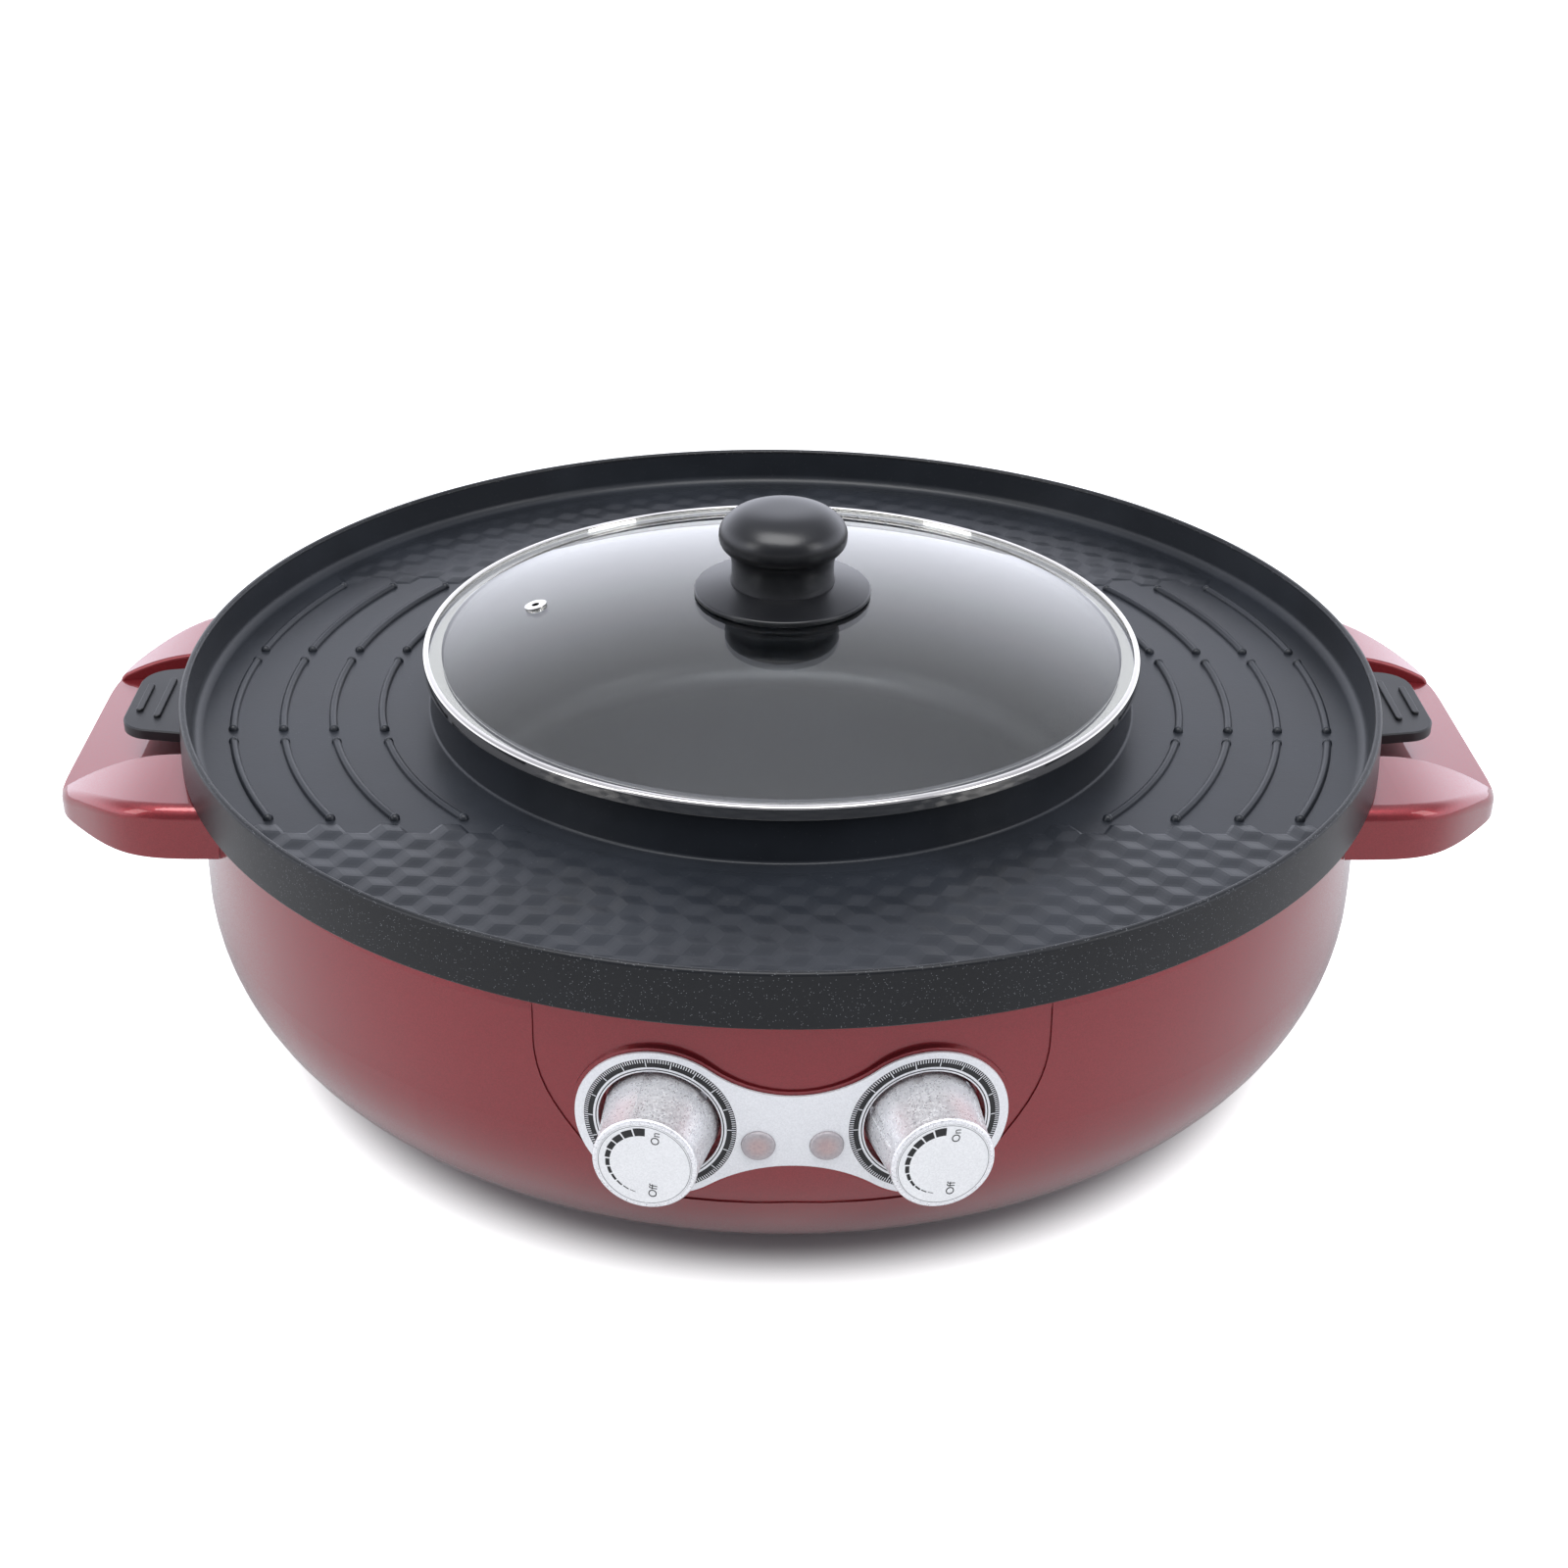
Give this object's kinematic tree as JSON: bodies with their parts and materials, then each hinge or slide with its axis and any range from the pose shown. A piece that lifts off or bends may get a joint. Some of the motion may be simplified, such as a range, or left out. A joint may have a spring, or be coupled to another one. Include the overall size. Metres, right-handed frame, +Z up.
{
  "type": "electric hot pot with ring grill",
  "caption": "Round electric hot pot with a ring grill round it, a lift-off glass lid, side handles and rotary controls.",
  "frame": {"origin": "on the table, on the axis of the bowl", "axes": "+Z up, the control face looks along -Y, the side handles point along -X and +X"},
  "size_m": [0.529, 0.4607, 0.1989],
  "materials": {
    "coated_casting": "matt black non-stick coating on cast aluminium",
    "ear_black": "satin black heat-proof plastic",
    "red_shell": "glossy dark red, lacquered",
    "silver_plate": "satin silver with a printed scale",
    "knob_silver": "fine-grained silver plating",
    "cap_silver": "satin silver disc with printed level marks",
    "lens_pink": "frosted pinkish lens",
    "lid_glass": "clear tempered glass",
    "lid_steel": "polished stainless band",
    "lid_black": "satin black heat-proof plastic",
    "steel": "plain steel",
    "aluminised": "dull aluminised sheet",
    "heater_tube": "dark oxidised steel tube",
    "inner_black": "black plastic",
    "inner_white": "white heat-proof plastic",
    "feet_rubber": "black rubber",
    "neon": "small glass lamp"
  },
  "bodies": {
    "pan": {"pan": "coated_casting", "pan_ear_right": "ear_black", "pan_ear_left": "ear_black", "ear_screws": "steel"},
    "lid": {"lid_rim": "lid_steel", "lid_glass": "lid_glass", "lid_vent_eyelet": "lid_steel", "lid_knob_skirt": "lid_black", "lid_knob": "lid_black", "lid_washer": "inner_black", "lid_screw": "steel"},
    "base": {"base_shell": "red_shell", "side_handle_right": "red_shell", "side_handle_left": "red_shell", "handle_screws": "steel", "control_plate": "silver_plate", "hotpot_lamp_lens": "lens_pink", "grill_lamp_lens": "lens_pink", "neon_lamps": "neon", "hotpot_thermostat": "inner_white", "grill_thermostat": "inner_white", "thermostat_nuts": "steel", "heat_liner": "aluminised", "pot_liner": "aluminised", "drain_chute": "aluminised", "grill_heater": "heater_tube", "pot_heater": "heater_tube", "heater_clips": "aluminised", "thermal_fuse": "inner_white", "mains_inlet": "inner_black", "inlet_pins": "steel", "terminal_block": "inner_white", "bottom_cover": "inner_black", "cover_screw_set": "steel", "rubber_feet": "feet_rubber", "oil_tray_guide": "inner_black"},
    "hotpot_control": {"hotpot_knob": "knob_silver", "hotpot_knob_cap": "cap_silver", "hotpot_shaft": "steel"},
    "grill_control": {"grill_knob": "knob_silver", "grill_knob_cap": "cap_silver", "grill_shaft": "steel"},
    "tray": {"oil_tray": "inner_black"}
  },
  "joints": [
    {"name": "pan_lift", "type": "slide", "parent": "base", "child": "pan", "axis": [0, 0, 1], "range_m": [0, 0.1]},
    {"name": "lid_lift", "type": "slide", "parent": "pan", "child": "lid", "axis": [0, 0, 1], "range_m": [0, 0.08]},
    {"name": "hotpot_knob_turn", "type": "hinge", "parent": "base", "child": "hotpot_control", "pos_m": [-0.0413, -0.21451, 0.08], "axis": [0.1891, 0.982, 0], "range_deg": [0, 270]},
    {"name": "grill_knob_turn", "type": "hinge", "parent": "base", "child": "grill_control", "pos_m": [0.0413, -0.21451, 0.08], "axis": [-0.1891, 0.982, 0], "range_deg": [0, 270]},
    {"name": "oil_tray_slide", "type": "slide", "parent": "base", "child": "tray", "axis": [0, 1, 0], "range_m": [0, 0.06]}
  ]
}
